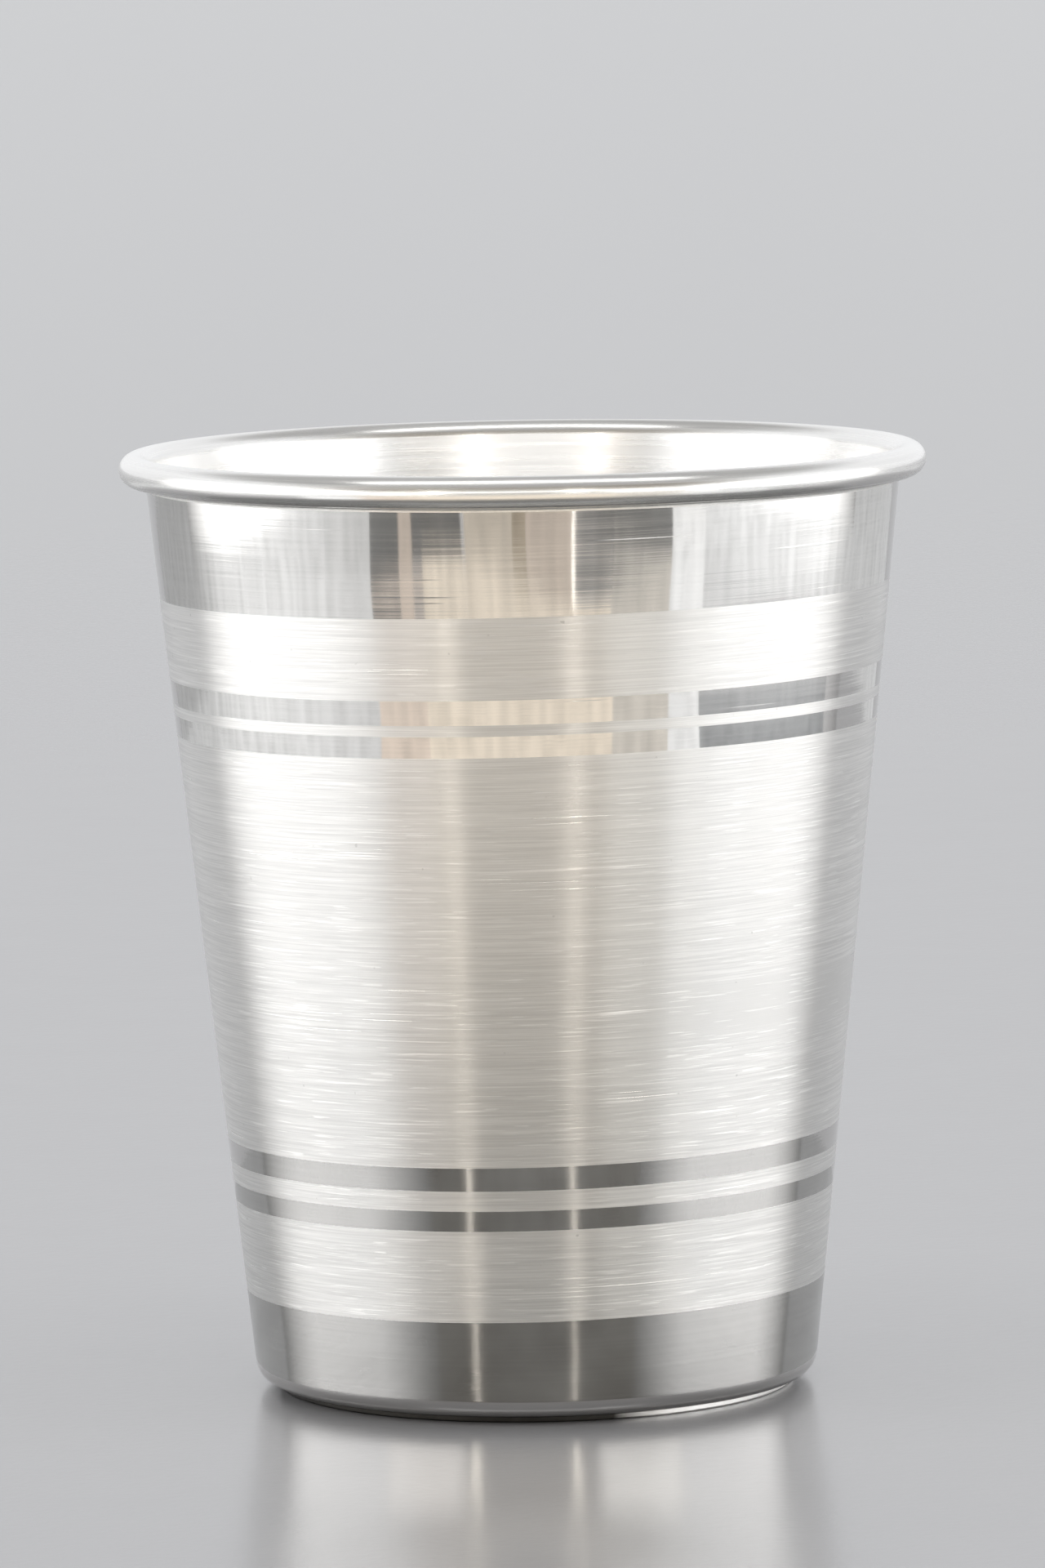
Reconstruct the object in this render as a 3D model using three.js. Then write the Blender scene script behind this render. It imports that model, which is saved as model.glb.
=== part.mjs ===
// A tapered drinking tumbler of spun sheet silver, with a wired rim and a soldered base plate.
// Millimetres, +Z up. The origin is the middle of the face that the tumbler rests on.

import * as THREE from "three";

// Driving dimensions
const overallHeight = 88.8; // resting face to the top of the rolled rim
const rimDiameter = 76; // across the outside of the rolled rim
const footDiameter = 52.95; // where the line of the wall would meet the base plate
const sheetThickness = 0.6; // wall, rolled rim and turned-in foot are one sheet
const footBendRadius = 1.4; // inside radius where the wall turns in at the foot
const flangeWidth = 1.5; // flat part of the turned-in foot, which lies on the base plate
const plateThickness = 0.6;
const plateInset = 0.3; // from the end of the foot's bend in to the edge of the base plate
const plateEdgeChamfer = 0.12; // broken edges of the base plate
const wireDiameter = 1.4; // core of the rolled rim
const wireClearance = 0.17; // between the wire and the sheet that is rolled over it
const curlMouth = 0.6; // from the edge of the rolled sheet to the wall, closed by solder
const rimFilletLeg = 0.45; // how far the rim's solder runs down the wall
const baseFilletLeg = 0.55; // how far the base's solder runs in over the plate
const baseFilletStep = 0.1; // how far the base's solder stops under the top of the flange
const filletHollow = 0.6; // 0 is a flat fillet, and 1 draws its middle half way to the corner
const seamGap = 0.1; // between a solder fillet and the sheet beside it

// Facets
const turnSteps = 64; // round the axis
const arcStep = THREE.MathUtils.degToRad(24); // most that one facet of a profile turns
const filletSteps = 4;

// The rim rolls round the wire, and the wall's outside is the line from the foot that just touches the roll's bore.
const curlBore = wireDiameter / 2 + wireClearance;
const curlRadius = curlBore + sheetThickness;
const wireCentre = new THREE.Vector2(rimDiameter / 2 - curlRadius, overallHeight - curlRadius);
const foot = new THREE.Vector2(footDiameter / 2, plateThickness);
const footToWire = wireCentre.clone().sub(foot);
const wallLean = Math.atan2(footToWire.x, footToWire.y) - Math.asin(curlBore / footToWire.length());
const wallUp = new THREE.Vector2(Math.sin(wallLean), Math.cos(wallLean));
const wallOut = new THREE.Vector2(Math.cos(wallLean), -Math.sin(wallLean));

// The foot's bend touches the wall's outside and the top of the base plate.
const bendOutside = footBendRadius + sheetThickness;
const bendCentre = new THREE.Vector2(
  foot.x + Math.tan(wallLean) * bendOutside - bendOutside / Math.cos(wallLean),
  plateThickness + bendOutside,
);
const flangeInside = bendCentre.x - flangeWidth;
const flangeTop = plateThickness + sheetThickness;

// The edge of the rolled sheet stops where it is curlMouth away from the wall.
const curlEnd = -Math.acos((curlMouth - curlBore) / curlRadius);

const finishes = {
  satinSilver: { color: 0xdcd8d0, roughness: 0.34, metalness: 1 },
  polishedSilver: { color: 0xe4e1db, roughness: 0.12, metalness: 1 },
  drawnWire: { color: 0xc8c5bf, roughness: 0.4, metalness: 1 },
  silverSolder: { color: 0xbdbab2, roughness: 0.45, metalness: 1 },
};

// Points on an arc in the profile plane, both ends included.
function arc(centre, radius, from, to) {
  const steps = Math.ceil(Math.abs(to - from) / arcStep);
  return Array.from({ length: steps + 1 }, (_, i) => {
    const angle = from + ((to - from) * i) / steps;
    return new THREE.Vector2(centre.x + radius * Math.cos(angle), centre.y + radius * Math.sin(angle));
  });
}

// A hollow fillet from one edge to another, drawn in towards the corner between them.
function hollowFillet(start, corner, end) {
  const control = start.clone().add(end).multiplyScalar(0.5).lerp(corner, filletHollow);
  return new THREE.QuadraticBezierCurve(start, control, end).getPoints(filletSteps);
}

// A point given by its distance out from the wall's outside and up along it, counted from beside the wire.
function besideWall(out, up) {
  const distance = out - curlBore;
  return wireCentre.clone().addScaledVector(wallOut, distance).addScaledVector(wallUp, up);
}

// A ring or disc turned round +Z from a profile of radius and height, which runs anticlockwise.
function turned(name, finish, profile) {
  const geometry = new THREE.LatheGeometry(profile, turnSteps).rotateX(Math.PI / 2);
  const mesh = new THREE.Mesh(geometry, new THREE.MeshStandardMaterial(finish));
  mesh.name = name;
  return mesh;
}

function closed(profile) {
  return [...profile, profile[0].clone()];
}

// Body wall: out along the flange, round the foot's bend, up the wall and over the rim, then back inside the sheet.
function bodyWall() {
  const wallSide = -wallLean;
  const rollStart = Math.PI - wallLean;
  const rollEnd = curlEnd - wallLean;
  return closed([
    new THREE.Vector2(flangeInside, plateThickness),
    ...arc(bendCentre, bendOutside, -Math.PI / 2, wallSide),
    ...arc(wireCentre, curlBore, rollStart, rollEnd),
    ...arc(wireCentre, curlRadius, rollEnd, rollStart),
    ...arc(bendCentre, footBendRadius, wallSide, -Math.PI / 2),
    new THREE.Vector2(flangeInside, flangeTop),
  ]);
}

function rimWire() {
  const section = arc(wireCentre, wireDiameter / 2, 0, 2 * Math.PI);
  return closed(section.slice(0, -1));
}

// Rim solder: fills the mouth of the roll and runs down the wall in a hollow fillet.
function rimSolder() {
  const edgeLow = curlRadius * Math.sin(curlEnd);
  const edgeHigh = curlBore * Math.sin(curlEnd);
  const outside = curlMouth - seamGap;
  const low = besideWall(seamGap, edgeLow - rimFilletLeg);
  const corner = besideWall(seamGap, edgeLow);
  const tip = besideWall(outside, edgeLow);
  return closed([
    ...hollowFillet(low, corner, tip),
    besideWall(outside, edgeHigh),
    besideWall(seamGap, edgeHigh),
  ]);
}

function basePlate() {
  const radius = bendCentre.x - plateInset;
  const chamfer = Math.min(plateEdgeChamfer, plateThickness / 3);
  return [
    new THREE.Vector2(0, 0),
    new THREE.Vector2(radius - chamfer, 0),
    new THREE.Vector2(radius, chamfer),
    new THREE.Vector2(radius, plateThickness - chamfer),
    new THREE.Vector2(radius - chamfer, plateThickness),
    new THREE.Vector2(0, plateThickness),
  ];
}

// Base solder: a hollow fillet on the plate, against the inner edge of the flange.
function baseSolder() {
  const outside = flangeInside - seamGap;
  const toe = new THREE.Vector2(outside - baseFilletLeg, plateThickness);
  const corner = new THREE.Vector2(outside, plateThickness);
  const top = new THREE.Vector2(outside, flangeTop - baseFilletStep);
  return closed([corner, ...hollowFillet(top, corner, toe)]);
}

const tumbler = new THREE.Group();
tumbler.add(
  turned("body_wall", finishes.satinSilver, bodyWall()),
  turned("rim_wire", finishes.drawnWire, rimWire()),
  turned("rim_solder", finishes.silverSolder, rimSolder()),
  turned("base_plate", finishes.polishedSilver, basePlate()),
  turned("base_solder", finishes.silverSolder, baseSolder()),
);

export default tumbler;
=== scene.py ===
"""Looks of the silver tumbler: smooth pieces in place of the packed solids, and a small studio."""

import math
from typing import NamedTuple

import bmesh
import bpy
from bpy.props import FloatProperty, FloatVectorProperty, PointerProperty
from mathutils import Matrix, Vector


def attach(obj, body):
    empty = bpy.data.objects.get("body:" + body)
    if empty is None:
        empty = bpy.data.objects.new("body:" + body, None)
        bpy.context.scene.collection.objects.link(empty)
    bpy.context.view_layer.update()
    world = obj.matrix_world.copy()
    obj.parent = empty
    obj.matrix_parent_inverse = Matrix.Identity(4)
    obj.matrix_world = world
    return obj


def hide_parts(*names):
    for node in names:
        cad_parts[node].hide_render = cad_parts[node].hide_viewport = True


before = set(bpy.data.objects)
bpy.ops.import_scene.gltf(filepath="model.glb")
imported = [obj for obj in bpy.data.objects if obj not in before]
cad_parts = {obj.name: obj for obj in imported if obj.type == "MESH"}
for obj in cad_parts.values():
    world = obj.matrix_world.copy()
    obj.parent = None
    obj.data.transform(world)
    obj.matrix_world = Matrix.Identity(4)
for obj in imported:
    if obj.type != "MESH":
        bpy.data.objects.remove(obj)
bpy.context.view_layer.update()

bl_info = {
    "name": "Silver Tumbler",
    "version": (1, 0, 0),
    "blender": (4, 5, 0),
    "location": "View3D > Sidebar > Tumbler",
    "description": "Dresses the packed tumbler in satin and polished silver and sets up its studio",
    "category": "Add Mesh",
}

BODY = "root"
TURN_STEPS = 256  # round the axis
ARC_STEP = math.radians(6)  # most that one facet of a section turns
FILLET_STEPS = 8
SHARP_ANGLE = math.radians(40)
TURNED_MAP = "Turned"  # U runs round the axis and V along the section
ACROSS_THE_LINES = 0.25  # of a turn, which brings the gloss's spread from along the lines to across them
IMAGE_HEIGHT = 1920  # pixels of the upright framing
SENSOR = 36.0  # millimetres along the framing's long side
CAMERA_CLIP = (0.01, 100.0)
BAND_HAZE = 0.065  # roughness of the polished bands
RIM_HAZE = 0.25
SWATH_SIDE = (0.008, 0.016)  # where the satin's dull swath sets in towards +X
SWATH_LOW = (0.0335, 0.037)  # its soft lower edge
SWATH_HIGH = (0.0412, 0.0408)  # its crisp upper edge
PAINTED_HIGHLIGHT_SIDE = (0.007, 0.012)  # where the plate's edge turns from painted shade to a painted highlight towards +X
FLOOR_REACH = 16.0
FLOOR_ROUGHNESS = 0.2
FLOOR_VARNISH = 1.8  # this and the other varnishes are indexes of refraction
FLOOR_MOTTLE = 0.02
CARD_STEP = 6.0  # degrees
CARD_LIFT = 0.0005
CARD_ROUGHNESS = 0.6
CARD_VARNISH = 1.5
CARD_MOTTLE = 0.35
MAT_ROUGHNESS = 0.2
MAT_VARNISH = 2.2
EDGE_RADIANCE = 0.5  # at the sides of a softbox, as bright as the surroundings
TOP_STRIP_PLACE = Vector((0, -0.1, 0.6))
TOP_STRIP_SIZE = (0.6, 0.12)
TOP_STRIP_RADIANCE = 2.5
FRONT_FADE = (-0.75, 0.0)  # along Y, from the surroundings in front to those at the sides
CEILING_FADE = (0.5, 0.75)  # along Z, from those at the sides to the ceiling


# Sizes and colours


def length(name, description, default):
    """A distance in metres that the sidebar shows with its unit."""
    return FloatProperty(
        name=name,
        description=description,
        default=default,
        min=0,
        precision=5,
        subtype="DISTANCE",
        unit="LENGTH",
    )


def heights(name, description, low, high):
    """The lower and upper edge of a stripe, in metres above the resting face."""
    return FloatVectorProperty(
        name=name, description=description, default=(low, high), size=2, min=0, precision=5, unit="LENGTH"
    )


def colour(name, description, default):
    """A linear colour."""
    return FloatVectorProperty(
        name=name, description=description, default=default, size=3, min=0, max=1, subtype="COLOR"
    )


def angle(name, description, degrees):
    """An angle that the sidebar shows in degrees."""
    return FloatProperty(
        name=name, description=description, default=math.radians(degrees), subtype="ANGLE", unit="ROTATION"
    )


class TumblerSizes(bpy.types.PropertyGroup):
    """Sizes of the sheet, wire, plate and solder."""

    height: length("Height", "Resting face to the top of the rolled rim", 0.0888)
    rim_diameter: length("Rim diameter", "Across the outside of the rolled rim", 0.076)
    foot_diameter: length("Foot diameter", "Where the line of the wall would meet the base plate", 0.05295)
    sheet: length("Sheet", "Thickness of the wall, rolled rim and turned-in foot", 0.0006)
    foot_bend: length("Foot bend", "Inside radius where the wall turns in at the foot", 0.0014)
    flange: length("Flange", "Flat part of the turned-in foot, on the base plate", 0.0015)
    plate: length("Plate", "Thickness of the base plate", 0.0006)
    plate_inset: length("Plate inset", "From the end of the foot's bend in to the plate's edge", 0.0003)
    plate_edge: length("Plate edge", "Radius that breaks the plate's edges", 0.00015)
    wire_diameter: length("Wire diameter", "Core of the rolled rim", 0.0014)
    wire_clearance: length("Wire clearance", "Between the wire and the sheet rolled over it", 0.00017)
    curl_mouth: length("Curl mouth", "From the edge of the rolled sheet to the wall", 0.0006)
    rim_fillet: length("Rim fillet", "How far the rim's solder runs down the wall", 0.00055)
    base_fillet: length("Base fillet", "How far the base's solder runs in over the plate", 0.00065)


class TumblerBands(bpy.types.PropertyGroup):
    """Edges of the polished bands and stripes on the satin wall."""

    base_band: length("Base band", "Top of the polished band at the foot", 0.00989)
    first_stripe: heights("First stripe", "Lower one of the pair near the foot", 0.01854, 0.02043)
    second_stripe: heights("Second stripe", "Upper one of the pair near the foot", 0.02234, 0.02452)
    third_stripe: heights("Third stripe", "Lower one of the pair near the rim", 0.06285, 0.06484)
    fourth_stripe: heights("Fourth stripe", "Upper one of the pair near the rim", 0.06588, 0.06816)
    top_band: length("Top band", "Bottom of the polished band at the rim", 0.07577)
    slant: angle("Slant", "How far the bands rise towards +X, as the sheet turned out of true", 0.75)


class TumblerFinishes(bpy.types.PropertyGroup):
    """Colours of the finishes."""

    satin: colour("Satin", "Brushed silver of the wall", (0.835, 0.825, 0.805))
    polished: colour("Polished", "Bands, stripes and plate", (0.67, 0.66, 0.645))
    # Painted light: a lighter copy of the polished colour, so that the rolled rim looks brightly lit
    rim: colour("Rim", "Rolled rim, which hands keep bright", (0.92, 0.91, 0.89))
    inside: colour("Inside", "Spun silver inside the cup", (0.95, 0.945, 0.935))
    solder: colour("Solder", "Silver solder in the seams", (0.82, 0.81, 0.78))
    wire: colour("Wire", "Drawn wire in the rim", (0.7, 0.69, 0.67))
    # Painted shade: the plate's edge is near black to stand for the shadowed gap under the foot
    plate_edge_shade: colour("Tarnish", "Unpolished edge of the plate", (0.05, 0.047, 0.043))


class TumblerStudio(bpy.types.PropertyGroup):
    """Floor, surroundings and camera."""

    floor: colour("Floor", "Pale floor", (0.33, 0.33, 0.34))
    front: colour("Front", "Surroundings behind the camera", (0.3, 0.27, 0.23))
    sides: colour("Sides", "Surroundings beside and behind the tumbler", (0.95, 0.96, 0.98))
    ceiling: colour("Ceiling", "Surroundings above", (0.45, 0.45, 0.45))
    camera_distance: length("Camera distance", "Camera in front of the axis", 0.9067)
    camera_height: length("Camera height", "Camera above the floor", 0.15457)
    camera_pitch: angle("Camera pitch", "How far the camera looks down", 6.15)
    camera_yaw: angle("Camera yaw", "How far the camera turns to its left", 0.03)
    camera_roll: angle("Camera roll", "How far the camera leans", -0.93)
    focal_length: FloatProperty(
        name="Focal length", description="In pixels of the upright framing", default=11818, subtype="PIXEL"
    )


# Section


class Section:
    """Lines of the tumbler's section that its pieces share, as points of radius and height."""

    def __init__(self, sizes):
        self.curl_bore = sizes.wire_diameter / 2 + sizes.wire_clearance
        self.curl_radius = self.curl_bore + sizes.sheet
        self.wire_centre = Vector((
            sizes.rim_diameter / 2 - self.curl_radius,
            sizes.height - self.curl_radius,
        ))
        foot = Vector((sizes.foot_diameter / 2, sizes.plate))
        to_wire = self.wire_centre - foot
        self.lean = math.atan2(to_wire.x, to_wire.y) - math.asin(self.curl_bore / to_wire.length)
        self.wall_up = Vector((math.sin(self.lean), math.cos(self.lean)))
        self.wall_out = Vector((math.cos(self.lean), -math.sin(self.lean)))
        self.bend_inside = sizes.foot_bend
        self.bend_outside = sizes.foot_bend + sizes.sheet
        self.bend_centre = Vector((
            foot.x + math.tan(self.lean) * self.bend_outside - self.bend_outside / math.cos(self.lean),
            sizes.plate + self.bend_outside,
        ))
        self.flange_inside = self.bend_centre.x - sizes.flange
        self.plate_top = sizes.plate
        self.flange_top = sizes.plate + sizes.sheet
        self.plate_radius = self.bend_centre.x - sizes.plate_inset
        self.curl_end = -math.acos((sizes.curl_mouth - self.curl_bore) / self.curl_radius)

    def outside_at(self, height):
        """The point of the wall's outside at a height."""
        bend_end = self.bend_centre + self.wall_out * self.bend_outside
        return bend_end + self.wall_up * ((height - bend_end.y) / self.wall_up.y)

    def beside_wall(self, out, up):
        """A point this far out from the wall's outside and this far up along it from beside the wire."""
        return self.wire_centre + self.wall_out * (out - self.curl_bore) + self.wall_up * up


def arc(centre, radius, start, end):
    """Points on an arc of the section, both ends included."""
    steps = math.ceil(abs(end - start) / ARC_STEP)
    turns = (start + (end - start) * i / steps for i in range(steps + 1))
    return [centre + radius * Vector((math.cos(turn), math.sin(turn))) for turn in turns]


def hollow_fillet(start, corner, end):
    """A curve from one edge to another that touches both sides of the corner between them."""
    shares = (i / FILLET_STEPS for i in range(FILLET_STEPS + 1))
    return [start * (1 - s) ** 2 + corner * (2 * s * (1 - s)) + end * s**2 for s in shares]


# Turned meshes


def ring(point, slant=0.0, lean=0.0):
    """A section point turned round the axis, from the back.

    A slanted ring rises towards +X on a wall of that lean.
    """
    if point.x == 0:
        return [Vector((0, 0, point.y))]
    points = []
    for step in range(TURN_STEPS):
        turn = 2 * math.pi * step / TURN_STEPS
        radius = point.x / (1 - math.tan(lean) * math.tan(slant) * math.sin(turn))
        across = radius * math.sin(turn)
        points.append(Vector((across, radius * math.cos(turn), point.y + math.tan(slant) * across)))
    return points


def turned(name, rings, slots, materials):
    """A piece that joins rings in order.

    slots gives the material of each gap. As many slots as rings join the last ring to the first.
    """
    form = bmesh.new()
    turned_map = form.loops.layers.uv.new(TURNED_MAP)
    corners = [[form.verts.new(point) for point in points] for points in rings]
    run = 0.0
    for gap, slot in enumerate(slots):
        after = (gap + 1) % len(rings)
        next_run = run + (rings[after][0] - rings[gap][0]).length
        for step in range(TURN_STEPS):
            panel = [
                (corners[gap], step, run),
                (corners[gap], step + 1, run),
                (corners[after], step + 1, next_run),
                (corners[after], step, next_run),
            ]
            add_panel(form, turned_map, panel, slot)
        run = next_run
    bmesh.ops.recalc_face_normals(form, faces=form.faces)
    mesh = bpy.data.meshes.new(name)
    form.to_mesh(mesh)
    form.free()
    for material in materials:
        mesh.materials.append(material)
    mesh.shade_smooth()
    mesh.set_sharp_from_angle(angle=SHARP_ANGLE)
    piece = bpy.data.objects.new(name, mesh)
    bpy.context.scene.collection.objects.link(piece)
    piece.modifiers.new("Even shading", "WEIGHTED_NORMAL").keep_sharp = True
    return piece


def add_panel(form, turned_map, panel, slot):
    """One face between two rings, with its place round the axis and along the section.

    A pole makes it a triangle.
    """
    places = {}
    for corners, step, run in panel:
        places.setdefault(corners[step % len(corners)], (step / TURN_STEPS, run))
    face = form.faces.new(places)
    face.material_index = slot
    for loop in face.loops:
        loop[turned_map].uv = places[loop.vert]


# Finishes


class Finish:
    """A material in the making, metal at first, with a call for each kind of detail."""

    def __init__(self, name, slant=0.0):
        self.slant = slant
        self.material = bpy.data.materials.new(name)
        self.material.use_nodes = True
        self.tree = self.material.node_tree
        self.shader = self.tree.nodes["Principled BSDF"]
        self.shader.inputs["Metallic"].default_value = 1.0
        self.place = self.tree.nodes.new("ShaderNodeTexCoord").outputs["Object"]

    def node(self, kind, **inputs):
        """A new node with its inputs set to values or linked to sockets."""
        made = self.tree.nodes.new(kind)
        for name, value in inputs.items():
            self.feed(made.inputs[name.replace("_", " ")], value)
        return made

    def feed(self, socket, value):
        """Links a socket to another, or sets its value."""
        if isinstance(value, bpy.types.NodeSocket):
            self.tree.links.new(value, socket)
        else:
            socket.default_value = value

    def vector_math(self, operation, *inputs):
        """A node that works with vectors."""
        made = self.tree.nodes.new("ShaderNodeVectorMath")
        made.operation = operation
        for socket, value in zip(made.inputs, inputs):
            self.feed(socket, value)
        return made

    def streaks(self, along, across, detail=3.0, rough=0.6):
        """Noise drawn out round the axis, in streaks of this length and height in metres."""
        mapping = self.node(
            "ShaderNodeMapping", Vector=self.place, Rotation=(0, -self.slant, 0), Scale=(along, along, across)
        )
        mapping.vector_type = "TEXTURE"
        return self.noise(mapping.outputs["Vector"], 1.0, detail, rough)

    def circles(self, across, detail=3.0, rough=0.6):
        """Noise in circles round the axis, on a flat face, of this width in metres."""
        flat = self.vector_math("MULTIPLY", self.place, (1, 1, 0))
        reach = self.vector_math("LENGTH", flat.outputs["Vector"])
        return self.noise(reach.outputs["Value"], 1 / across, detail, rough)

    def noise(self, place, scale, detail, rough):
        """Noise of a scale, from 0 to 1 and mostly near the middle."""
        texture = self.node("ShaderNodeTexNoise", Vector=place, Scale=scale, Detail=detail, Roughness=rough)
        return texture.outputs["Fac"]

    def spread(self, value, low, high, to_low=0.0, to_high=1.0):
        """A value's range from low to high drawn out to another range, and cut off there."""
        node = self.node("ShaderNodeMapRange", Value=value, From_Min=low, From_Max=high)
        self.feed(node.inputs["To Min"], to_low)
        self.feed(node.inputs["To Max"], to_high)
        return node.outputs["Result"]

    def tint(self, share, dark, light):
        """A colour between two, by share."""
        node = self.tree.nodes.new("ShaderNodeMix")
        node.data_type = "RGBA"
        self.feed(node.inputs["Factor"], share)
        for socket, tone in ((node.inputs["A"], dark), (node.inputs["B"], light)):
            self.feed(socket, tone if isinstance(tone, bpy.types.NodeSocket) else (*tone, 1))
        return node.outputs["Result"]

    def relief(self, height, depth, under=None):
        """A bump of this depth in metres, on top of another one."""
        node = self.node("ShaderNodeBump", Height=height, Distance=depth, Strength=1.0)
        if under is not None:
            self.feed(node.inputs["Normal"], under)
        return node.outputs["Normal"]

    def turned_up(self, share, amount, under):
        """A surface that is turned towards +Z by share of an amount, as the lower side of a scratch is."""
        lifted = self.vector_math("MULTIPLY_ADD", share, (0, 0, amount), under)
        return self.vector_math("NORMALIZE", lifted.outputs["Vector"]).outputs["Vector"]

    def gloss_across(self, amount):
        """Spreads the gloss across the turning lines."""
        tangent = self.tree.nodes.new("ShaderNodeTangent")
        tangent.direction_type = "UV_MAP"
        tangent.uv_map = TURNED_MAP
        self.feed(self.shader.inputs["Tangent"], tangent.outputs["Tangent"])
        self.shader.inputs["Anisotropic"].default_value = amount
        self.shader.inputs["Anisotropic Rotation"].default_value = ACROSS_THE_LINES

    def finish(self, base, roughness, normal):
        """Feeds the shader and returns the material."""
        self.feed(self.shader.inputs["Base Color"], base)
        self.feed(self.shader.inputs["Roughness"], roughness)
        self.feed(self.shader.inputs["Normal"], normal)
        return self.material


def shaded(tone, share):
    """A colour made darker."""
    return tuple(channel * share for channel in tone)


def satin_silver(finishes, slant):
    """Silver brushed round the axis.

    It has fine lines, short bright dashes, longer scratches in clusters, a dull swath and a few specks.
    """
    made = Finish("satin_silver", slant)
    lines = made.streaks(0.012, 0.00014, 3.0)
    clusters = made.spread(made.streaks(0.02, 0.004, 1.0), 0.45, 0.7)
    dashes = made.spread(made.streaks(0.004, 0.00011, 0.0), 0.68, 0.73)
    scratches = made.spread(made.streaks(0.012, 0.00012, 0.0), 0.7, 0.75, 0.0, clusters)
    specks = made.spread(made.noise(made.place, 1800.0, 0.0, 0.5), 0.86, 0.92)
    brushing = made.spread(lines, 0.3, 0.7, 0.34, 0.38)
    roughness = made.spread(scratches, 0.0, 1.0, brushing, 0.26)
    lined = made.tint(made.spread(lines, 0.36, 0.64), shaded(finishes.satin, 0.83), finishes.satin)
    sides = made.node("ShaderNodeSeparateXYZ", Vector=made.place)
    beside = made.spread(sides.outputs["X"], *SWATH_SIDE)
    above = made.spread(sides.outputs["Z"], *SWATH_LOW, 0.0, beside)
    swath = made.spread(sides.outputs["Z"], *SWATH_HIGH, 0.0, above)
    dulled = made.tint(swath, lined, shaded(finishes.satin, 0.88))
    base = made.tint(specks, dulled, shaded(finishes.satin, 0.7))
    waves = made.relief(made.streaks(0.03, 0.02, 1.0), 0.0002)
    brushed = made.relief(lines, 0.000005, waves)
    made.gloss_across(0.95)
    dashed = made.turned_up(dashes, 0.12, brushed)
    return made.finish(base, roughness, made.turned_up(scratches, 0.16, dashed))


def polished_silver(name, tone, haze, slant=0.0):
    """Polished silver with faint turning lines and a few scratches.

    Its rows fray what it mirrors.
    """
    made = Finish(name, slant)
    lines = made.streaks(0.03, 0.0002)
    rows = made.streaks(0.04, 0.0009, 2.0)
    scratches = made.spread(made.streaks(0.02, 0.0002, 0.0), 0.8, 0.85)
    roughness = made.spread(lines, 0.3, 0.7, haze * 0.8, haze * 1.2)
    base = made.tint(made.spread(lines, 0.35, 0.65), shaded(tone, 0.94), tone)
    waves = made.relief(made.streaks(0.025, 0.015, 1.0), 0.0002)
    turned_rows = made.relief(rows, 0.0000025, waves)
    fine = made.relief(lines, 0.0000012, turned_rows)
    made.gloss_across(0.6)
    return made.finish(base, roughness, made.turned_up(scratches, 0.03, fine))


def inside_silver(finishes):
    """Spun silver inside the cup, soft and pale with the tool's tracks."""
    made = Finish("inside_silver")
    tracks = made.streaks(0.03, 0.0005)
    bloom = made.streaks(0.02, 0.01, 3.0)
    roughness = made.spread(tracks, 0.3, 0.7, 0.24, 0.32)
    base = made.tint(made.spread(bloom, 0.35, 0.65), shaded(finishes.inside, 0.95), finishes.inside)
    waves = made.relief(made.streaks(0.03, 0.015, 1.0), 0.00005)
    tracked = made.relief(tracks, 0.000015, waves)
    made.gloss_across(0.4)
    return made.finish(base, roughness, tracked)


def plate_silver(finishes):
    """Polished plate with circles of turning lines."""
    made = Finish("plate_silver")
    circles = made.circles(0.0005)
    bloom = made.noise(made.place, 90.0, 4.0, 0.6)
    roughness = made.spread(circles, 0.3, 0.7, 0.2, 0.3)
    base = made.tint(made.spread(bloom, 0.35, 0.65), shaded(finishes.polished, 0.92), finishes.polished)
    made.gloss_across(0.7)
    return made.finish(base, roughness, made.relief(circles, 0.000006))


def shaded_plate_edge(finishes):
    """Edge of the plate as it was cut, rough and darkened by painted shade that stands for the shadowed gap
    under the foot, with a painted highlight towards +X.
    """
    made = Finish("shaded_plate_edge")
    patches = made.noise(made.place, 300.0, 4.0, 0.6)
    cuts = made.streaks(0.0004, 0.002, 2.0)
    roughness = made.spread(patches, 0.3, 0.7, 0.4, 0.55)
    # Painted shade, in random patches, that darkens the edge as the gap under the foot does
    dark = made.tint(made.spread(patches, 0.4, 0.75), shaded(finishes.plate_edge_shade, 0.6), finishes.plate_edge_shade)
    sides = made.node("ShaderNodeSeparateXYZ", Vector=made.place)
    # Painted highlight towards +X in the rim's colour, where light from the right falls on the edge
    base = made.tint(made.spread(sides.outputs["X"], *PAINTED_HIGHLIGHT_SIDE), dark, finishes.rim)
    return made.finish(base, roughness, made.relief(cuts, 0.00001))


def silver_solder(finishes):
    """Dull solder, wiped smooth but a little lumpy."""
    made = Finish("silver_solder")
    lumps = made.noise(made.place, 900.0, 3.0, 0.5)
    grain = made.noise(made.place, 6000.0, 2.0, 0.5)
    roughness = made.spread(lumps, 0.3, 0.7, 0.28, 0.42)
    base = made.tint(made.spread(grain, 0.3, 0.7), shaded(finishes.solder, 0.88), finishes.solder)
    return made.finish(base, roughness, made.relief(grain, 0.000004, made.relief(lumps, 0.00003)))


def drawn_wire(finishes):
    """Wire with the long lines that drawing leaves."""
    made = Finish("drawn_wire")
    lines = made.streaks(0.03, 0.0001)
    roughness = made.spread(lines, 0.3, 0.7, 0.32, 0.46)
    base = made.tint(lines, shaded(finishes.wire, 0.85), finishes.wire)
    return made.finish(base, roughness, made.relief(lines, 0.000005))


# Pieces


def settle(piece, slot, *nodes):
    """Lets a piece ride on the tumbler in place of its solids. Its slot, the name of its finish, is not used.
    """
    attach(piece, BODY)
    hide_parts(*nodes)


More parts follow.
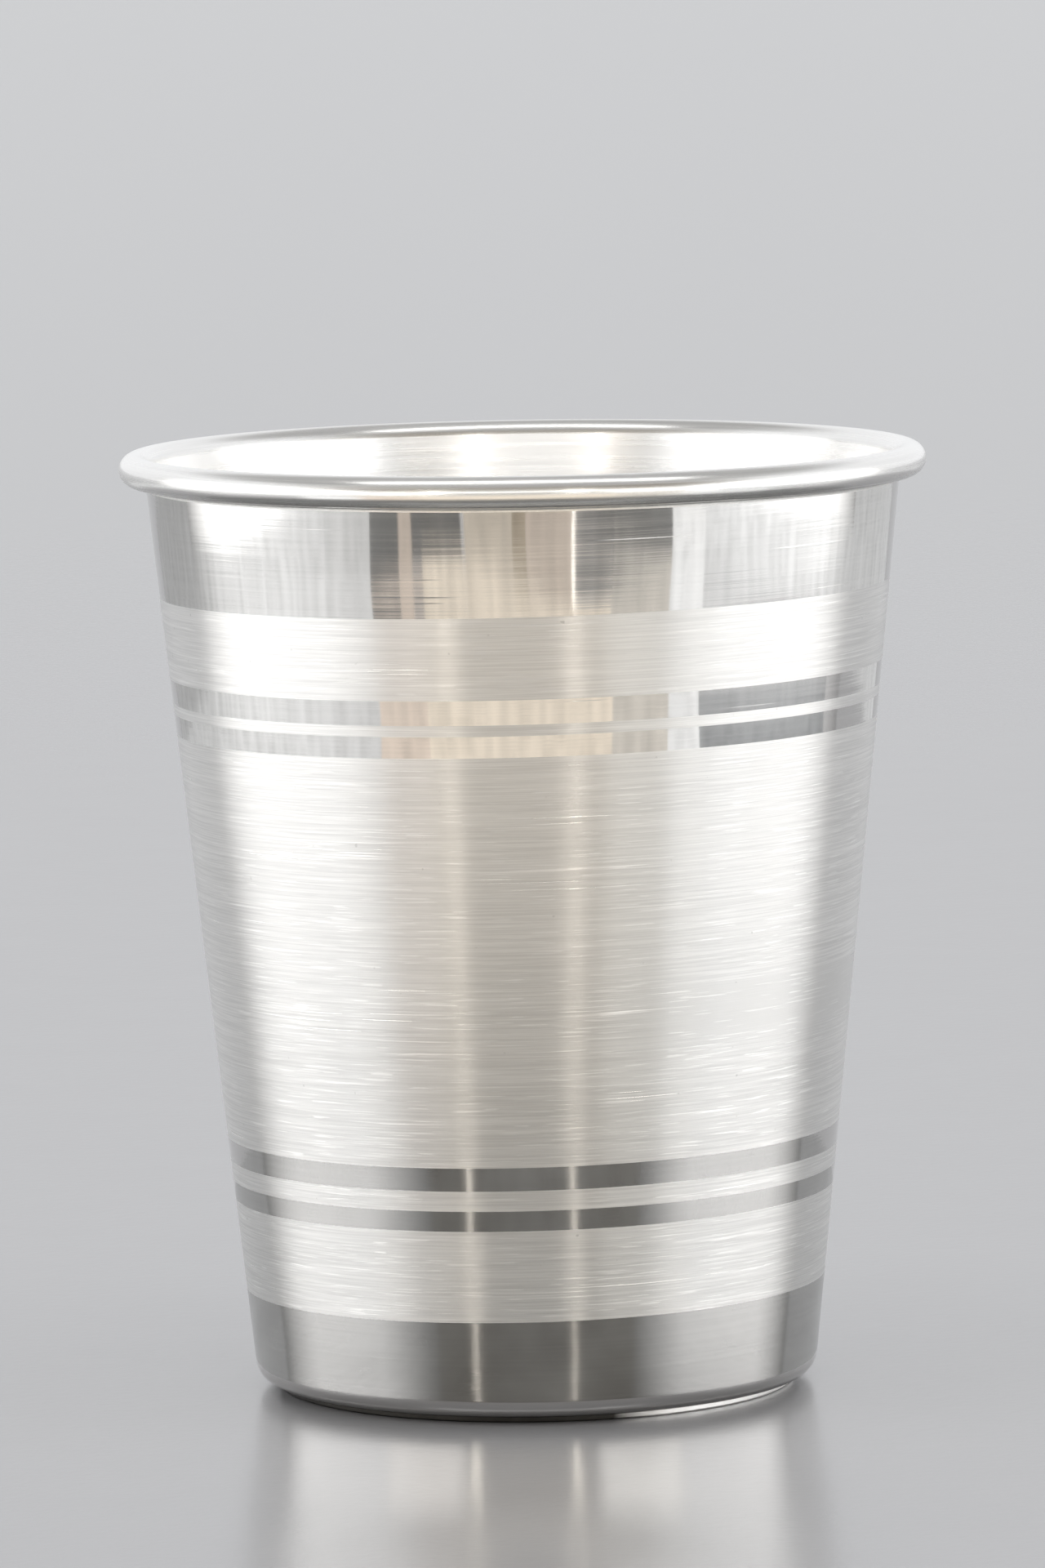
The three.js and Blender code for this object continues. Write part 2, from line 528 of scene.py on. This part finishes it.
class TUMBLER_OT_wall(bpy.types.Operator):
    """Make the wall: one banded sheet with its foot turned in and its top rolled over the wire."""

    bl_idname = "tumbler.wall"
    bl_label = "Wall"

    def execute(self, context):
        scene = context.scene
        section = Section(scene.tumbler_sizes)
        bands = scene.tumbler_bands
        satin, polished, rim, inside = 0, 1, 2, 3
        roll_start = math.pi - section.lean
        roll_end = section.curl_end - section.lean
        foot = [Vector((section.flange_inside, section.plate_top))]
        foot += arc(section.bend_centre, section.bend_outside, -math.pi / 2, -section.lean)
        roll = arc(section.wire_centre, section.curl_bore, roll_start, roll_end)
        roll += arc(section.wire_centre, section.curl_radius, roll_end, roll_start)
        lining = arc(section.bend_centre, section.bend_inside, -section.lean, -math.pi / 2)
        lining.append(Vector((section.flange_inside, section.flange_top)))
        edges = [bands.base_band]
        for stripe in (bands.first_stripe, bands.second_stripe, bands.third_stripe, bands.fourth_stripe):
            edges += stripe
        edges.append(bands.top_band)
        rings = [ring(point) for point in foot]
        slots = [polished] * len(foot)
        for number, edge in enumerate(edges):
            rings.append(ring(section.outside_at(edge), bands.slant, section.lean))
            slots.append(polished if number % 2 else satin)
        rings += [ring(point) for point in roll + lining]
        slots += [rim] * (len(roll) - 1) + [inside] * (len(lining) + 1)
        finishes = scene.tumbler_finishes
        materials = [
            satin_silver(finishes, bands.slant),
            polished_silver("polished_silver", finishes.polished, BAND_HAZE, bands.slant),
            # A lighter copy of the polished finish: painted light on the rolled rim
            polished_silver("rim_silver", finishes.rim, RIM_HAZE),
            inside_silver(finishes),
        ]
        settle(turned("wall", rings, slots, materials), "satin_silver", "body_wall")
        return {"FINISHED"}


class TUMBLER_OT_seams(bpy.types.Operator):
    """Make the two solder seams: under the rolled rim, and inside round the base plate."""

    bl_idname = "tumbler.seams"
    bl_label = "Solder seams"

    def execute(self, context):
        sizes = context.scene.tumbler_sizes
        section = Section(sizes)
        solder = silver_solder(context.scene.tumbler_finishes)
        low = section.curl_radius * math.sin(section.curl_end)
        high = section.curl_bore * math.sin(section.curl_end)
        rim = hollow_fillet(
            section.beside_wall(0, low - sizes.rim_fillet),
            section.beside_wall(0, low),
            section.beside_wall(sizes.curl_mouth, low),
        )
        rim += [section.beside_wall(sizes.curl_mouth, high), section.beside_wall(0, high)]
        corner = Vector((section.flange_inside, section.plate_top))
        base = [corner]
        base += hollow_fillet(
            Vector((section.flange_inside, section.flange_top)),
            corner,
            Vector((section.flange_inside - sizes.base_fillet, section.plate_top)),
        )
        for name, node, profile in (("rim_seam", "rim_solder", rim), ("base_seam", "base_solder", base)):
            piece = turned(name, [ring(point) for point in profile], [0] * len(profile), [solder])
            settle(piece, "silver_solder", node)
        return {"FINISHED"}


class TUMBLER_OT_plate(bpy.types.Operator):
    """Make the base plate, a disc with softly broken edges."""

    bl_idname = "tumbler.plate"
    bl_label = "Base plate"

    def execute(self, context):
        sizes = context.scene.tumbler_sizes
        finishes = context.scene.tumbler_finishes
        section = Section(sizes)
        inner = section.plate_radius - sizes.plate_edge
        under = arc(Vector((inner, sizes.plate_edge)), sizes.plate_edge, -math.pi / 2, 0)
        over = arc(Vector((inner, sizes.plate - sizes.plate_edge)), sizes.plate_edge, 0, math.pi / 2)
        profile = [Vector((0, 0)), *under, *over, Vector((0, sizes.plate))]
        face, edge, lining = 0, 1, 2
        slots = [face, *[edge] * (len(profile) - 3), lining]
        materials = [plate_silver(finishes), shaded_plate_edge(finishes), inside_silver(finishes)]
        piece = turned("plate", [ring(point) for point in profile], slots, materials)
        settle(piece, "polished_silver", "base_plate")
        return {"FINISHED"}


class TUMBLER_OT_wire(bpy.types.Operator):
    """Give the wire in the rim its drawn finish."""

    bl_idname = "tumbler.wire"
    bl_label = "Rim wire"

    def execute(self, context):
        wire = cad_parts["rim_wire"]
        wire.material_slots[0].material = drawn_wire(context.scene.tumbler_finishes)
        return {"FINISHED"}


# Studio


class Softbox(NamedTuple):
    """A glowing sheet that stands round the tumbler. Its azimuth is as in around.

    It fades at its first and last azimuth, each over a share of half its width.
    """

    name: str
    azimuth: float
    distance: float
    width: float
    low: float
    high: float
    radiance: float
    first_fade: float
    last_fade: float
    tone: tuple = (1.0, 1.0, 1.0)


class Card(NamedTuple):
    """A card on the floor, which the silver mirrors: a sector from its start to its end, as in around.

    Its near and far radius hold at its start, and at its end they have grown to this share.
    """

    name: str
    start: float
    end: float
    near: float
    far: float
    tone: tuple
    # Painted light: the card's own glow, which makes it brighter than the lamps light it
    glow: float = 0.0
    growth: float = 1.0
    roughness: float = CARD_ROUGHNESS
    varnish: float = CARD_VARNISH


SOFTBOXES = (
    Softbox("left_softbox_low", -91, 0.4, 0.48, 0.0, 0.08, 2.4, 0.6, 0.02),
    Softbox("left_softbox_middle", -81, 0.4, 0.72, 0.08, 0.125, 4.0, 0.65, 0.65),
    Softbox("left_softbox_high", -81, 0.4, 0.72, 0.125, 0.2, 2.4, 0.65, 0.65),
    Softbox("right_softbox_low", 89, 0.4, 0.48, 0.0, 0.08, 2.4, 0.02, 0.6),
    Softbox("right_softbox_middle", 80, 0.4, 0.68, 0.08, 0.125, 4.1, 0.6, 0.6),
    Softbox("right_softbox_high", 80, 0.4, 0.68, 0.125, 0.2, 2.4, 0.6, 0.6),
    Softbox("left_flank", -49, 0.9, 0.727, 0.0, 0.19, 3.0, 0.2, 0.2, (1.0, 0.97, 0.93)),
    Softbox("right_flank", 45, 0.9, 0.764, 0.0, 0.19, 3.1, 0.2, 0.2, (1.0, 0.98, 0.94)),
    Softbox("front_panel", 0, 1.1, 1.1, 0.12, 0.3, 2.3, 0.1, 0.1, (1.0, 0.99, 0.97)),
    Softbox("left_strip", -25, 1.05, 0.01, 0.0, 0.4, 26.0, 0.1, 0.1, (1.0, 0.93, 0.83)),
    Softbox("right_strip", 15, 1.05, 0.01, 0.0, 0.4, 22.0, 0.1, 0.1, (1.0, 0.93, 0.83)),
)
GOLDEN = (0.92, 0.82, 0.69)
BROWN = (0.6, 0.5, 0.37)
PINK = (0.9, 0.77, 0.66)
BEIGE = (0.7, 0.66, 0.6)
WHITE = (0.86, 0.87, 0.88)
PALE = (0.74, 0.75, 0.76)
GREY = (0.42, 0.44, 0.46)
DARK = (0.16, 0.165, 0.165)
CARDS = (
    Card("dark_mat_front", -90, 90, 0.03, 0.12, DARK, 0.0, 1.0, MAT_ROUGHNESS, MAT_VARNISH),
    Card("dark_mat_back", 90, 270, 0.03, 0.12, DARK, 0.0, 1.0, MAT_ROUGHNESS, MAT_VARNISH),
    Card("golden_card", -30, 26, 0.125, 0.293, GOLDEN, 0.58),
    Card("golden_tongue", -17, -3, 0.294, 0.37, GOLDEN, 0.05),
    Card("brown_tongue", -3, 1, 0.294, 0.37, BROWN, 0.05),
    Card("pink_tongue", 1, 14, 0.294, 0.37, PINK, 0.05),
    Card("pink_card", -46, -30, 0.125, 0.281, PINK, 0.4),
    Card("dark_card_outer", -46, -37, 0.283, 0.37, DARK),
    Card("pink_strip", -37, -33, 0.283, 0.37, PINK),
    Card("dark_card_inner", -33, -18, 0.295, 0.37, DARK),
    Card("dark_card_right", 15, 44, 0.308, 0.37, DARK),
    Card("beige_card", 26, 44, 0.125, 0.306, BEIGE, 0.5),
    Card("white_card_beside", 44, 55, 0.125, 0.37, WHITE, 0.6),
    Card("white_card_low", 55, 72, 0.125, 0.195, WHITE, 0.5),
    Card("grey_card", 55, 110, 0.2, 0.27, GREY, 0.0, 1.28),
    Card("white_card_right", 55, 155, 0.285, 0.5, PALE, 0.48, 1.5),
    Card("white_card_wing", -64, -46, 0.125, 0.198, WHITE, 0.8),
    Card("white_card_left", -155, -46, 0.28, 0.42, WHITE, 0.25, 0.71),
    Card("white_card_far_left", -155, -46, 0.42, 0.7, WHITE, 0.0, 0.71),
)


def add_top_strip():
    """A lamp over the tumbler, long from side to side, that lights the rim and the inside."""
    lamp = bpy.data.lights.new("top_strip", "AREA")
    lamp.shape = "RECTANGLE"
    lamp.size, lamp.size_y = TOP_STRIP_SIZE
    lamp.energy = TOP_STRIP_RADIANCE * math.pi * lamp.size * lamp.size_y
    made = bpy.data.objects.new("top_strip", lamp)
    made.location = TOP_STRIP_PLACE
    made.visible_camera = False
    bpy.context.scene.collection.objects.link(made)


def around(azimuth, distance, height):
    """A point round the tumbler. Azimuth 0 is the camera's side, and 90 is +X, in degrees."""
    turn = math.radians(azimuth)
    return Vector((math.sin(turn) * distance, -math.cos(turn) * distance, height))


def add_softbox(box):
    """A standing sheet that glows and fades at its sides."""
    half = box.width / 2
    corners = [(-half, 0, box.low), (half, 0, box.low), (half, 0, box.high), (-half, 0, box.high)]
    glowing = Finish(box.name)
    sides = glowing.node("ShaderNodeSeparateXYZ", Vector=glowing.place)
    first = half * (1 - box.first_fade)
    last = half * (1 - box.last_fade)
    rise = glowing.spread(sides.outputs["X"], -half, -first, EDGE_RADIANCE, box.radiance)
    strength = glowing.spread(sides.outputs["X"], last, half, rise, EDGE_RADIANCE)
    glowing.feed(glowing.shader.inputs["Base Color"], (0, 0, 0, 1))
    glowing.feed(glowing.shader.inputs["Emission Color"], (*box.tone, 1))
    glowing.feed(glowing.shader.inputs["Emission Strength"], strength)
    sheet = add_sheet(box.name, corners, glowing.material)
    turn = Matrix.Rotation(math.radians(box.azimuth), 4, "Z")
    sheet.matrix_world = turn @ Matrix.Translation((0, -box.distance, 0))
    sheet.visible_camera = False


def add_sheet(name, corners, material):
    """A flat sheet that belongs to the studio."""
    mesh = bpy.data.meshes.new(name)
    mesh.from_pydata(corners, [], [tuple(range(len(corners)))])
    mesh.materials.append(material)
    made = bpy.data.objects.new(name, mesh)
    bpy.context.scene.collection.objects.link(made)
    return made


def plain_paper(name, tone, roughness, varnish, mottle, glow=0.0):
    """Varnished paper with a faint grain and with spots that are darker by a share. It may glow, which is
    painted light that makes it brighter than the lamps light it.
    """
    made = Finish(name)
    made.shader.inputs["Metallic"].default_value = 0.0
    made.shader.inputs["IOR"].default_value = varnish
    # The glow is painted light on the card
    made.shader.inputs["Emission Strength"].default_value = glow
    grain = made.noise(made.place, 700.0, 3.0, 0.6)
    spots = made.spread(made.noise(made.place, 60.0, 2.0, 0.6), 0.35, 0.65)
    base = made.tint(spots, shaded(tone, 1 - mottle), tone)
    made.feed(made.shader.inputs["Emission Color"], base)
    return made.finish(base, roughness, made.relief(grain, 0.00002))


def one_sided(material):
    """Lets light through a card from its back, so that the floor under it is lit like the rest."""
    tree = material.node_tree
    facing = tree.nodes.new("ShaderNodeNewGeometry")
    clear = tree.nodes.new("ShaderNodeBsdfTransparent")
    either = tree.nodes.new("ShaderNodeMixShader")
    tree.links.new(facing.outputs["Backfacing"], either.inputs["Fac"])
    tree.links.new(tree.nodes["Principled BSDF"].outputs["BSDF"], either.inputs[1])
    tree.links.new(clear.outputs["BSDF"], either.inputs[2])
    tree.links.new(either.outputs["Shader"], tree.nodes["Material Output"].inputs["Surface"])
    return material


def add_card(card):
    """A sector on the floor, which faces up and is hidden from the camera."""
    steps = math.ceil((card.end - card.start) / CARD_STEP)
    turns = [card.start + (card.end - card.start) * step / steps for step in range(steps + 1)]
    growth = [1 + (card.growth - 1) * step / steps for step in range(steps + 1)]
    edges = list(zip(turns, growth))
    corners = [around(turn, card.far * grown, CARD_LIFT) for turn, grown in edges]
    corners += [around(turn, card.near * grown, CARD_LIFT) for turn, grown in reversed(edges)]
    paper = plain_paper(card.name, card.tone, card.roughness, card.varnish, CARD_MOTTLE, card.glow)
    add_sheet(card.name, corners, one_sided(paper)).visible_camera = False


def add_floor(studio):
    """A pale square under everything."""
    corners = [around(azimuth, FLOOR_REACH, 0) for azimuth in (-45, 45, 135, 225)]
    paper = plain_paper("floor_paper", studio.floor, FLOOR_ROUGHNESS, FLOOR_VARNISH, FLOOR_MOTTLE)
    add_sheet("floor", corners, paper)


def light_world(studio):
    """Pale surroundings that are warm on the camera's side and dim above."""
    world = bpy.data.worlds.new("studio")
    world.use_nodes = True
    bpy.context.scene.world = world
    tree = world.node_tree
    facing = tree.nodes.new("ShaderNodeSeparateXYZ")
    tree.links.new(tree.nodes.new("ShaderNodeTexCoord").outputs["Generated"], facing.inputs[0])
    horizon = blend(tree, facing.outputs["Y"], *FRONT_FADE, (*studio.front, 1), (*studio.sides, 1))
    whole = blend(tree, facing.outputs["Z"], *CEILING_FADE, horizon, (*studio.ceiling, 1))
    tree.links.new(whole, tree.nodes["Background"].inputs["Color"])


def blend(tree, value, low, high, first, second):
    """A colour that goes softly from the first to the second while a value goes from low to high."""
    share = tree.nodes.new("ShaderNodeMapRange")
    share.interpolation_type = "SMOOTHSTEP"
    tree.links.new(value, share.inputs["Value"])
    share.inputs["From Min"].default_value = low
    share.inputs["From Max"].default_value = high
    tones = tree.nodes.new("ShaderNodeMix")
    tones.data_type = "RGBA"
    tree.links.new(share.outputs["Result"], tones.inputs["Factor"])
    for socket, tone in ((tones.inputs["A"], first), (tones.inputs["B"], second)):
        if isinstance(tone, tuple):
            socket.default_value = tone
        else:
            tree.links.new(tone, socket)
    return tones.outputs["Result"]


def add_camera(studio):
    """The camera, with the framing's own pitch, yaw and roll."""
    data = bpy.data.cameras.new("camera")
    data.sensor_width = SENSOR
    data.lens = studio.focal_length / IMAGE_HEIGHT * SENSOR
    data.clip_start, data.clip_end = CAMERA_CLIP
    camera = bpy.data.objects.new("camera", data)
    place = Matrix.Translation((0, -studio.camera_distance, studio.camera_height))
    yaw = Matrix.Rotation(studio.camera_yaw, 4, "Z")
    tilt = Matrix.Rotation(math.pi / 2 - studio.camera_pitch, 4, "X")
    roll = Matrix.Rotation(studio.camera_roll, 4, "Z")
    camera.matrix_world = place @ yaw @ tilt @ roll
    bpy.context.scene.collection.objects.link(camera)
    bpy.context.scene.camera = camera


class TUMBLER_OT_studio(bpy.types.Operator):
    """Make the studio: pale floor, cards, softboxes, a lamp above, surroundings and camera."""

    bl_idname = "tumbler.studio"
    bl_label = "Studio"

    def execute(self, context):
        studio = context.scene.tumbler_studio
        add_floor(studio)
        for card in CARDS:
            add_card(card)
        for box in SOFTBOXES:
            add_softbox(box)
        add_top_strip()
        light_world(studio)
        add_camera(studio)
        context.scene.view_settings.view_transform = "Standard"
        return {"FINISHED"}


# Sidebar and registration


GROUPS = {
    "tumbler_sizes": TumblerSizes,
    "tumbler_bands": TumblerBands,
    "tumbler_finishes": TumblerFinishes,
    "tumbler_studio": TumblerStudio,
}
OPERATORS = (TUMBLER_OT_wall, TUMBLER_OT_seams, TUMBLER_OT_plate, TUMBLER_OT_wire, TUMBLER_OT_studio)


class TUMBLER_PT_panel(bpy.types.Panel):
    """Lists the tumbler's operators and what they use."""

    bl_label = "Tumbler"
    bl_idname = "TUMBLER_PT_panel"
    bl_space_type = "VIEW_3D"
    bl_region_type = "UI"
    bl_category = "Tumbler"

    def draw(self, context):
        for operator in OPERATORS:
            self.layout.operator(operator.bl_idname)
        for name, group in GROUPS.items():
            box = self.layout.box()
            box.label(text=group.__doc__)
            for setting in group.__annotations__:
                box.prop(getattr(context.scene, name), setting)


def register():
    """Registers the classes and puts their settings on the scene."""
    for part in (*GROUPS.values(), *OPERATORS, TUMBLER_PT_panel):
        bpy.utils.register_class(part)
    for name, group in GROUPS.items():
        setattr(bpy.types.Scene, name, PointerProperty(type=group))


def unregister():
    """Takes the settings off the scene and unregisters the classes."""
    for name in GROUPS:
        delattr(bpy.types.Scene, name)
    for part in (TUMBLER_PT_panel, *reversed(OPERATORS), *reversed(GROUPS.values())):
        bpy.utils.unregister_class(part)


def main():
    """Makes every piece and the studio."""
    register()
    bpy.ops.tumbler.wall()
    bpy.ops.tumbler.seams()
    bpy.ops.tumbler.plate()
    bpy.ops.tumbler.wire()
    bpy.ops.tumbler.studio()


if __name__ == "__main__":
    main()
